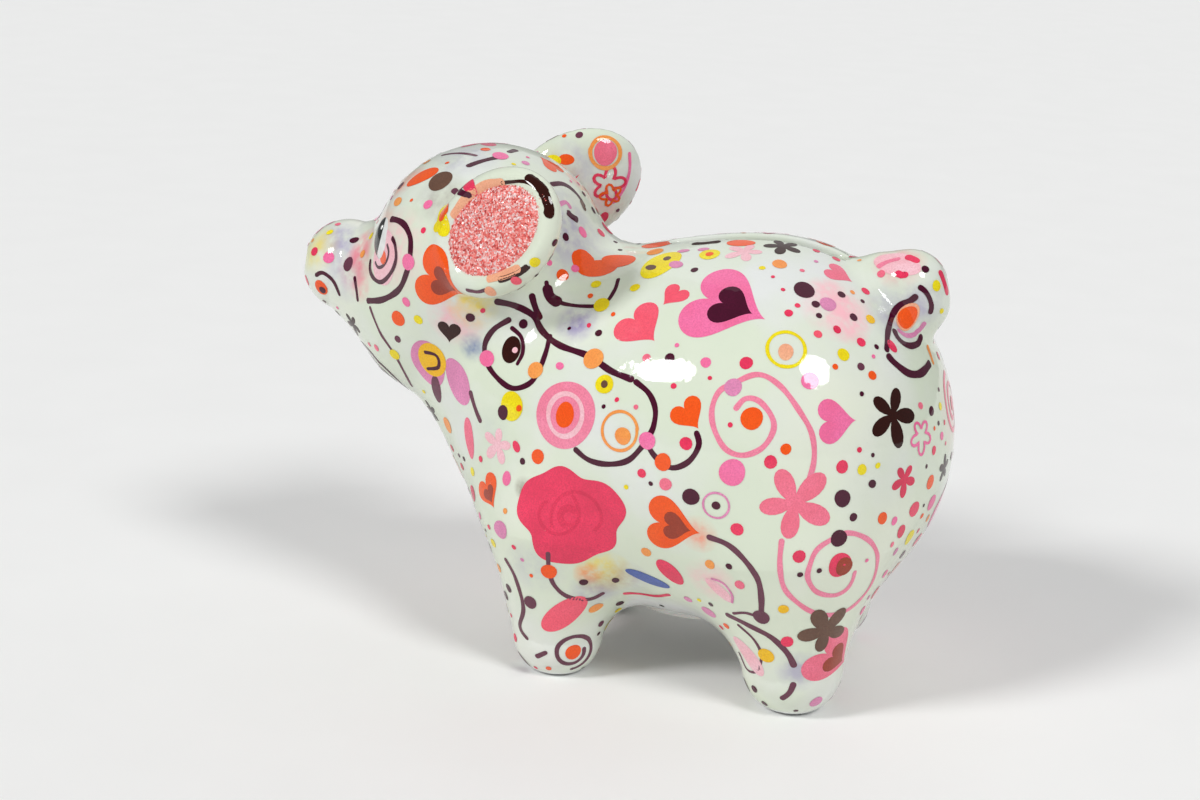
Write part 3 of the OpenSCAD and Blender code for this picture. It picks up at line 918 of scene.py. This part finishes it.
def chest_print(skin):
    """A leaf, a disc and a little heart, where the real print has a bird."""
    dot(skin, "mauve", (22, -41, 73), 10, 1.2, 15, layer=0)
    dot(skin, "amber", (23, -40, 74), 8, 1.15)
    line(skin, "purple", ((22, -42, 76), (25, -39, 75), (25, -39, 72), (22, -42, 71)), 0.9, 2)
    heart(skin, "brown", (27, -35, 82), 6, -95)
    dot(skin, "mauve", (27, -33, 70), 12, 0.55, -60, layer=0)
    dot(skin, "plum", (23, -40, 66), 3.5, 2.0, layer=1)
    line(skin, "plum", ((30, -30, 69), (31, -28, 65), (32, -26, 62)), 1.2)
    dot(skin, "yellow", (34, -17, 68), 6.5, 1.05)
    dot(skin, "purple", (33, -19, 66), 3, 1.2, layer=2)
    dot(skin, "orange", (35, -15, 68), 1.6, layer=2)
    dot(skin, "rosepink", (28, -29, 57), 3.5, 3.0, 5, layer=0)
    dots(skin, ("orange", (38, -9, 58), 3.5), ("crimson", (36, -15, 59), 2, 1.5, 35),
         ("purple", (37, -13, 56), 1.6), ("pink", (36, -17, 51), 2.6, 1.4),
         ("crimson", (30, -25, 53), 1.6), ("pink", (34, -6, 79), 2.2, 0.8))
    ring(skin, "apricot", (15, -36, 45), 6, 0.6)


def snout_print(skin):
    line(skin, "purple", ((9, -75, 88), (11, -73, 89), (12, -70, 87), (12, -68, 84)), 1.0)
    dot(skin, "orange", (10, -74, 85), 4)
    dot(skin, "purple", (11, -74, 84), 2, layer=2)
    dots(skin, ("pink", (11, -72, 93), 3), ("purple", (10, -67, 99), 3, 0.6, 20),
         ("plum", (12, -66, 92), 3, 1.2))
    line(skin, "purple", ((15, -64, 90), (16, -63, 87), (16, -62, 84)), 1.0)


def tail_print(skin):
    line(skin, "purple", ((8, 71, 98.5), (8.5, 69.5, 97), (9, 67.5, 96), (10.5, 66, 94),
         (14.5, 66, 92.5), (18, 66, 90.5), (21.5, 66.5, 87.5)), 1.5, 1)
    line(skin, "purple", ((22, 67, 87.5), (21.5, 68.5, 85.5), (19.5, 71.5, 83), (16.5, 73.5, 82),
         (13, 74.5, 82), (8, 75.5, 83)), 1.9, 1)
    line(skin, "purple", ((14.5, 67, 91.5), (15.5, 68, 90), (15, 69.5, 88.5), (13, 71, 87.5),
         (9, 72.5, 87.5), (7, 73, 89)), 1.6, 1)
    line(skin, "purple", ((8, 71, 100.5), (7.5, 72.5, 99.5), (7, 73.5, 98), (7, 74.5, 96),
         (6.5, 74, 94)), 1.2, 1)
    line(skin, "mauve", ((7, 73.5, 92), (8.5, 72.5, 90), (12, 69.5, 89.5), (13.5, 67.5, 91)), 1.2)
    dot(skin, "peach", (9, 69, 93), 5, 1.45, -45)
    dot(skin, "orange", (9, 69, 93), 4.2, 1.45, -45, layer=2)
    dot(skin, "crimson", (19, 67.5, 88.5), 2.4, 1.4, 20)
    line(skin, "apricot", ((5.5, 74.5, 86.5), (5.5, 75, 85), (6.5, 76, 82)), 1.5)
    dot(skin, "blush", (5, 65.5, 104.5), 11, 0.6, layer=0)
    line(skin, "candy", ((6, 61, 103.5), (5, 63, 105), (4.5, 66, 106)), 1.2, 1)
    line(skin, "crimson", ((4, 67, 106.5), (4.5, 69, 106), (5, 70.5, 105.5)), 2.0, 1)
    line(skin, "crimson", ((7, 65.5, 103), (7.5, 67, 102.5), (7.5, 68.5, 103)), 1.6, 1)
    line(skin, "rosepink", ((6.5, 61.5, 102.5), (7.5, 63, 102)), 2.0, 1)
    line(skin, "crimson", ((3, 75.5, 104), (3, 77, 101), (2, 78, 98)), 2.0)


def on_ear(*spots):
    """Where places along and across the rim of the left ear are on the pig."""
    local = np.array([(3.4, along, across) for along, across in spots])
    return local @ turn(EAR_TURN).T + EAR_CENTRE


def rim_print(skin):
    """Ink round the left ear's cup, and what the glitter leaves bare of it."""
    line(skin, "brown", on_ear((15.6, 7.9), (18, 4), (18.5, 0.5), (18, -3), (16.4, -4.2)), 2.4)
    line(skin, "brown", on_ear((7.9, 8.4), (14.5, 5.7), (17.5, 2)), 0.8)
    line(skin, "peach", on_ear((-8, 7.5), (-3, 9.5), (3, 10), (9, 8)), 2.4)
    line(skin, "peach", on_ear((-5, -9), (0, -10.4), (5, -11)), 2.4)
    line(skin, "brown", on_ear((-2, -11), (3.5, -12), (7, -12)), 1.5)
    rim_dots = (("orange", -9.5, 11, 3), ("yellow", -13, 8, 3), ("coral", 2, -14, 2.5),
                ("peach", -6, -13, 3), ("yellow", 9, -12.5, 2.5))
    for ink, along, across, size in rim_dots:
        dot(skin, ink, on_ear((along, across))[0], size)
    line(skin, "plum", on_ear((-12, -9), (-9, -11), (-6, -11.5)), 1.0)
    line(skin, "yellow", ((26, -37.5, 112), (29, -37, 110.5), (31, -36, 107.5), (31, -36, 105.5)), 4)
    line(skin, "orange", ((28, -37, 111.5), (30.5, -36.5, 109)), 3, 1)
    dot(skin, "crimson", (31, -30, 118), 5, 0.6)
    line(skin, "purple", ((30, -33, 116), (32, -29, 116)), 1.5, 1)


def ear_print(skin):
    stand_right = (-30, -14, 118)
    dot(skin, "rosepink", stand_right, 6, 1.1)
    ring(skin, "apricot", stand_right, 8, 1.0, 2)
    line_flower(skin, "crimson", (-30, -13, 110), 9, 80, 0.8)
    line_flower(skin, "orange", (-31, -12, 107), 6, 40, 0.7)
    line(skin, "pink", ((-34, -9, 118), (-33, -8, 113), (-33, -10, 108), (-32, -12, 105)), 0.9)
    dots(skin, ("crimson", (-32, -14, 101), 2.5, 1.4), ("orange", (-26, -23, 116), 4, 0.7),
         ("yellow", (-24, -26, 116), 4, 0.7))
    line(skin, "crimson", ((-36, -10, 121), (-38, -8, 116), (-37, -8, 108)), 0.8)
    line(skin, "purple", ((9, -17, 116), (4, -15, 115), (2, -12, 113), (2, -10, 110)), 1.3)
    line(skin, "purple", ((-12, -24, 119), (-8, -26, 120)), 1.6)


# ------------------------------------------------------------------ the print beyond the photograph
# How far the scattered print keeps off each cut and each eye, in millimetres, and where the skin
# faces down enough to stay white.
CUP_CLEAR, EYE_CLEAR, NOSTRIL_CLEAR, SLOT_CLEAR, SEAT_CLEAR, SOLE_CLEAR = 1.2, 8.5, 1.5, 1.5, 2, 1.5
UNDER_TOP, UNDER_FACING = 30, -0.68
# Past SEEN_X only dots are scattered. A kind gets TRIES tries for each motif that it should lay.
SEEN_X, TRIES = 16, 14
# A motif needs flat skin within ROOM of its size, tested at EVERY so many points of the skin.
ROOM, FLATNESS, EVERY = 0.55, 0.86, 7


def printable(points, normals):
    """True on the skin that a transfer can reach: not in the ear cups, slot, plug hole or nostrils."""
    side = mirrored(points)
    cup = egg((side - EAR_CENTRE) @ turn(EAR_TURN) - CUP_CENTRE, CUP_HALF) < CUP_CLEAR
    eyes = np.linalg.norm(side - EYE_CENTRE, axis=1) < EYE_CLEAR
    nose = np.linalg.norm(side - NOSTRIL[0], axis=1) < NOSTRIL[1] + NOSTRIL_CLEAR
    cuts = (slot_field(points) < SLOT_CLEAR) | (disc_field(points, SEAT_R, SEAT_Z) < SEAT_CLEAR)
    under = (points[:, 2] < UNDER_TOP) & (normals[:, 2] < UNDER_FACING)
    return ~(cup | eyes | nose | cuts | under | (points[:, 2] < SOLE_CLEAR))


def motif_at(skin, kind, spot, size):
    """One scattered motif of a kind, with its own colours and turn."""
    degrees = rng.uniform(-180, 180)
    if kind == "spiral":
        ink = rng.choice(("rosepink", "purple", "purple"))
        hand = rng.choice((-1, 1))
        swirl(skin, ink, spot, size * 0.18, size * 0.48, 1.7, degrees, hand, size * 0.075)
        dot(skin, rng.choice(("orange", "crimson")), spot, size * 0.24)
    elif kind == "heart":
        inks = rng.choice((("pink", "purple"), ("orange", "umber"), ("rosepink", None), ("pink", None)))
        heart(skin, inks[0], spot, size * 0.9, degrees, inner=inks[1] if size > 9 else None)
    elif kind == "flower":
        flower(skin, rng.choice(("brown", "rosepink", "hot", "blush")), spot, size, degrees, waist=0.24)
    elif kind == "outline":
        line_flower(skin, rng.choice(("pink", "crimson")), spot, size, degrees)
    elif kind == "donut":
        donut(skin, spot, size, rng.choice(("pink", "rosepink")))
    elif kind == "ring":
        ink = rng.choice(("apricot", "yellow", "mauve"))
        ring(skin, ink, spot, size * 0.9, 0.8)
        dot(skin, rng.choice(("apricot", "peach", "purple")), spot, size * 0.4)
    elif kind == "rose":
        rose(skin, spot, size, degrees)
    else:
        dot(skin, rng.choice(DOT_INKS), spot, size, rng.uniform(0.85, 1.15), degrees)


DOT_INKS = ("purple", "purple", "purple", "crimson", "crimson", "pink", "orange", "yellow", "rosepink",
            "hot", "apricot", "mauve", "plum")
SCATTER = (
    ("rose", 25, 26, 3, 3.0),
    ("spiral", 15, 19, 12, 1.2),
    ("heart", 14, 20, 9, 1.2),
    ("donut", 12, 15, 5, 1.0),
    ("flower", 10, 15, 14, 1.0),
    ("heart", 7, 10, 18, 0.9),
    ("ring", 7, 9, 12, 0.9),
    ("outline", 7, 9, 9, 0.9),
    ("flower", 6, 8, 16, 0.8),
    ("dot", 3.2, 4.6, 70, 2.2),
    ("dot", 1.8, 2.6, 230, 1.7),
    ("dot", 1.0, 1.5, 280, 1.4),
)


def scatter(skin, points, normals):
    """Fills what is left of the skin, largest motifs first, none on top of another."""
    allowed = points[printable(points, normals)]
    for kind, low, high, count, gap in SCATTER:
        made = 0
        for _ in range(count * TRIES):
            if made == count:
                break
            spot = allowed[rng.randrange(len(allowed))]
            size = rng.uniform(low, high)
            taken = np.array(skin.taken)
            clear = np.linalg.norm(taken[:, :3] - spot, axis=1) - taken[:, 3]
            if clear.min() < size / 2 + gap:
                continue
            if kind != "dot" and (spot[0] > SEEN_X or not roomy(spot, size, points)):
                continue
            motif_at(skin, kind, spot, size)
            made += 1


def roomy(spot, size, points):
    """True where a motif of that size stays on printable and fairly flat skin."""
    near = points[np.linalg.norm(points - spot, axis=1) < size * ROOM][::EVERY]
    normals = unit_rows(slope(skin_field, near, 0.2))
    flat = np.linalg.norm(normals.mean(0)) > FLATNESS
    return flat and bool(printable(near, normals).all())


def print_pieces(skin):
    """Turns every ink sheet into a thin mesh that follows the skin."""
    for name, sheet in skin.sheets.items():
        if not sheet["points"]:
            continue
        points = np.concatenate(sheet["points"])
        for _ in range(2):
            points = settle(skin_field, points, 0.1)
        normals = unit_rows(slope(skin_field, points, NORMAL_STEP))
        points = points + normals * np.concatenate(sheet["lift"])[:, None]
        dress(mesh_piece("print_" + name, points, sheet["faces"], normals), ink_material(name))


# ------------------------------------------------------------------ glitter in the ears
GLUE_HALF = (1.8, 16.5, 10)
GLUE_SHIFT = (2.0, 1, 0)
FLAKES = 3600


def dome(half, shift, centre, angles, rings, around):
    """The outer half of an egg, in the frame's millimetres, and the way it faces."""
    flat = [(0.0, 0.0)]
    for k in range(1, rings + 1):
        flat += [(k / rings, 2 * math.pi * j / around) for j in range(around)]
    r, a = np.array(flat).T
    tilt = r * math.radians(92)
    unit = np.stack([np.cos(tilt), np.sin(tilt) * np.cos(a), np.sin(tilt) * np.sin(a)], 1)
    local = unit * half + shift
    facing = unit_rows(unit / half)
    spin = turn(angles)
    return local @ spin.T + centre, facing @ spin.T, disc_faces(rings, around)


def glitter_material():
    """Flakes that each have their own pink, and their own shine."""
    material, tree, bsdf = shader("glitter_flakes")
    cells = add(tree, "ShaderNodeTexVoronoi", Scale=2400.0, Vector=place(tree))
    parts = add(tree, "ShaderNodeSeparateColor", Color=cells.outputs["Color"])
    shades = add(tree, "ShaderNodeValToRGB", Fac=parts.outputs["Red"])
    stops = shades.color_ramp.elements
    stops[0].color = (0.55, 0.05, 0.05, 1)
    stops[1].color = (1.0, 0.92, 0.92, 1)
    between = ((0.15, (0.88, 0.15, 0.13)), (0.42, (1.0, 0.28, 0.25)), (0.70, (1.0, 0.53, 0.50)))
    for at, colour in between:
        stops.new(at).color = tint(colour)
    shine = ramp(tree, parts.outputs["Green"], 0.0, 1.0)
    rough = add(tree, "ShaderNodeMapRange", **{"Value": shine, "To Min": 0.18, "To Max": 0.55})
    set_inputs(bsdf, {"Base Color": shades.outputs["Color"], "Roughness": rough.outputs["Result"],
                      "Metallic": 0.2})
    return material


def glitter_pieces():
    """A dish of glue in each ear cup, with loose flakes standing in it at all tilts."""
    material = glitter_material()
    for side, name in ((1, "left"), (-1, "right")):
        points, out, faces = dome(GLUE_HALF, GLUE_SHIFT, EAR_CENTRE, EAR_TURN, 18, 72)
        points, out = points * (side, 1, 1), out * (side, 1, 1)
        if side < 0:
            faces = [face[::-1] for face in faces]
        glue = mesh_piece("glue_" + name, points, faces, out)
        dress(glue, material, "glitter_" + name)
        corners, polygons = flakes(side)
        loose = mesh_piece("flakes_" + name, corners, polygons)
        loose.data.polygons.foreach_set("use_smooth", [False] * len(polygons))
        dress(loose, material)


def flakes(side):
    """Six-sided flakes, 0.26 to 0.48 mm across, spread over the glue."""
    chance = np.random.default_rng(7 + side)
    a = chance.uniform(0, 2 * math.pi, FLAKES)
    r = np.sqrt(chance.uniform(0, 1, FLAKES))
    tilt = np.arcsin(np.clip(r * 0.985, 0, 1))
    unit = np.stack([np.cos(tilt), np.sin(tilt) * np.cos(a), np.sin(tilt) * np.sin(a)], 1)
    local = unit * GLUE_HALF + GLUE_SHIFT
    out = unit_rows(unit_rows(unit / GLUE_HALF) + chance.normal(0, 0.42, (FLAKES, 3)))
    across = unit_rows(np.cross(out, chance.normal(0, 1, (FLAKES, 3))))
    other = np.cross(out, across)
    radius = chance.uniform(0.13, 0.24, FLAKES)[:, None]
    local = local + 0.10 * out
    corners = [local + radius * (math.cos(k * math.pi / 3) * across + math.sin(k * math.pi / 3) * other)
               for k in range(6)]
    corners = np.stack(corners, 1).reshape(-1, 3) @ turn(EAR_TURN).T + EAR_CENTRE
    polygons = np.arange(FLAKES * 6).reshape(-1, 6)
    if side < 0:
        polygons = polygons[:, ::-1]
    return corners * (side, 1, 1), polygons


# ------------------------------------------------------------------ eyes
EYE_HALF, EYE_SHIFT = (2, 5, 5.9), (-1.45, 0.6, 0.2)
PUPIL_HALF, PUPIL_SHIFT = (2, 3.8, 5.2), (-1.2, -0.5, 0.3)


def enamel(name, colour, uneven):
    """Brushed enamel: near enough one colour, with the brush's own streaks and gloss."""
    material, tree, bsdf = shader(name)
    streaks = ramp(tree, noise(tree, 650, 3.0, 0.6), 0.3, 0.7)
    base = mix(tree, streaks, tint(colour), tint(uneven))
    brushed = relief(tree, noise(tree, 900, 1.0), 0.12, 0.0002)
    set_inputs(bsdf, {"Base Color": base, "Roughness": 0.14, "Coat Weight": 0.8,
                      "Coat Roughness": 0.04, "Normal": brushed})
    return material


def eye_pieces():
    white = enamel("eye_white_enamel", (0.86, 0.87, 0.85), (0.74, 0.76, 0.74))
    black = enamel("pupil_enamel", (0.006, 0.006, 0.006), (0.02, 0.018, 0.018))
    glint = np.array(PUPIL_SHIFT) + (0.45, 0.9, 2.3)
    parts = (
        ("eye", EYE_HALF, EYE_SHIFT, white, "eye_white", "eye_"),
        ("pupil", PUPIL_HALF, PUPIL_SHIFT, black, "pupil", "pupil_"),
        ("glint", (1.42, 0.8, 1.2), glint, white, "eye_white", None),
    )
    for side, name in ((1, "left"), (-1, "right")):
        for kind, half, shift, material, slot, node in parts:
            points, out, faces = dome(half, shift, EYE_CENTRE, EYE_TURN, 14, 48)
            if side < 0:
                faces = [face[::-1] for face in faces]
            flip = (side, 1, 1)
            piece = mesh_piece(f"{kind}_{name}_paint", points * flip, faces, out * flip)
            dress(piece, material, node and node + name)


# ------------------------------------------------------------------ the soft plug
def plug_material():
    """Milky soft plastic with a fine moulded grain and a little dust."""
    material, tree, bsdf = shader("soft_plug_vinyl")
    milky = mix(tree, noise(tree, 130, 3.0), (0.62, 0.62, 0.60, 1), (0.76, 0.76, 0.73, 1))
    dusty = mix(tree, ramp(tree, noise(tree, 1900, 3.0, 0.7), 0.62, 0.8), milky, (0.50, 0.49, 0.47, 1))
    grain = relief(tree, noise(tree, 2400, 2.0), 0.25, 0.0002)
    set_inputs(bsdf, {"Base Color": dusty, "Roughness": 0.42, "Subsurface Weight": 0.15,
                      "Subsurface Scale": 0.002, "Normal": grain})
    return material


def dress_plug():
    material = plug_material()
    for node in ("stopper", "stopper_tab"):
        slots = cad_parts[node].material_slots
        for slot in slots:
            slot.material = material


# ------------------------------------------------------------------ studio
# Fitted to the photograph's outline together with the form: degrees and millimetres.
CAMERA_AZIMUTH, CAMERA_RISE, CAMERA_ROLL = 104, 16, 3
CAMERA_TARGET, CAMERA_DISTANCE, CAMERA_LENS = (0, -4.5, 62), 520, 63.5
# Name, azimuth, elevation, strength and width in degrees; the two keys stand where the photograph's
# highlights put them.
LAMPS = (
    ("key_left", -43, 38, 1.50, 14),
    ("key_right", 52, 46, 1.20, 17),
    ("behind", 165, 50, 0.55, 75),
)
FLOOR_REACH = 5000


def camera():
    """At the photograph's viewing angle, rolled as it is there."""
    away, rise, roll = (math.radians(a) for a in (CAMERA_AZIMUTH, CAMERA_RISE, CAMERA_ROLL))
    back = Vector((math.sin(away) * math.cos(rise), -math.cos(away) * math.cos(rise), math.sin(rise)))
    right = Vector((0, 0, 1)).cross(back).normalized()
    up = back.cross(right)
    x = right * math.cos(roll) + up * math.sin(roll)
    y = up * math.cos(roll) - right * math.sin(roll)
    lens = bpy.data.cameras.new("camera")
    lens.lens = CAMERA_LENS
    lens.sensor_width = 36
    lens.clip_start = 0.01
    eye = bpy.data.objects.new("camera", lens)
    eye.matrix_world = Matrix((x, y, back)).transposed().to_4x4()
    eye.matrix_world.translation = (Vector(CAMERA_TARGET) + back * CAMERA_DISTANCE) * MM
    bpy.context.scene.collection.objects.link(eye)
    bpy.context.scene.camera = eye


def lamp(name, azimuth, elevation, strength, width):
    """A far, round, soft light that looks that many degrees wide."""
    light = bpy.data.lights.new(name, "SUN")
    light.energy = strength
    light.angle = math.radians(width)
    a, e = math.radians(azimuth), math.radians(elevation)
    direction = Vector((math.cos(e) * math.cos(a), math.cos(e) * math.sin(a), math.sin(e)))
    holder = bpy.data.objects.new(name, light)
    holder.location = direction
    holder.rotation_euler = direction.to_track_quat("Z", "Y").to_euler()
    bpy.context.scene.collection.objects.link(holder)


def studio():
    for settings in LAMPS:
        lamp(*settings)
    world = bpy.data.worlds.new("studio")
    bpy.context.scene.world = world
    world.use_nodes = True
    set_inputs(world.node_tree.nodes["Background"], {"Color": (0.96, 0.98, 1.0, 1), "Strength": 0.23})
    bpy.context.scene.view_settings.view_transform = "Standard"


def floor():
    """A plain pale table, big enough for every view."""
    points = [(x, y, 0.0) for x in (-FLOOR_REACH, FLOOR_REACH) for y in (-FLOOR_REACH, FLOOR_REACH)]
    ground = mesh_piece("floor", points, [[0, 2, 3, 1]])
    material, tree, bsdf = shader("floor_paper")
    paper = mix(tree, noise(tree, 30, 2.0), (0.90, 0.90, 0.89, 1), (0.93, 0.93, 0.92, 1))
    set_inputs(bsdf, {"Base Color": paper, "Roughness": 0.9})
    ground.data.materials.append(material)


# ------------------------------------------------------------------ everything
points, faces, normals = skin_pieces()
inner_wall()
skin_sheet = Skin(points, faces)
for region in (back_print, flank_print, leg_print, dot_print, head_print, neck_print, chest_print,
               snout_print, tail_print, ear_print, rim_print):
    region(skin_sheet)
scatter(skin_sheet, points, normals)
print_pieces(skin_sheet)
glitter_pieces()
eye_pieces()
dress_plug()
camera()
studio()
floor()
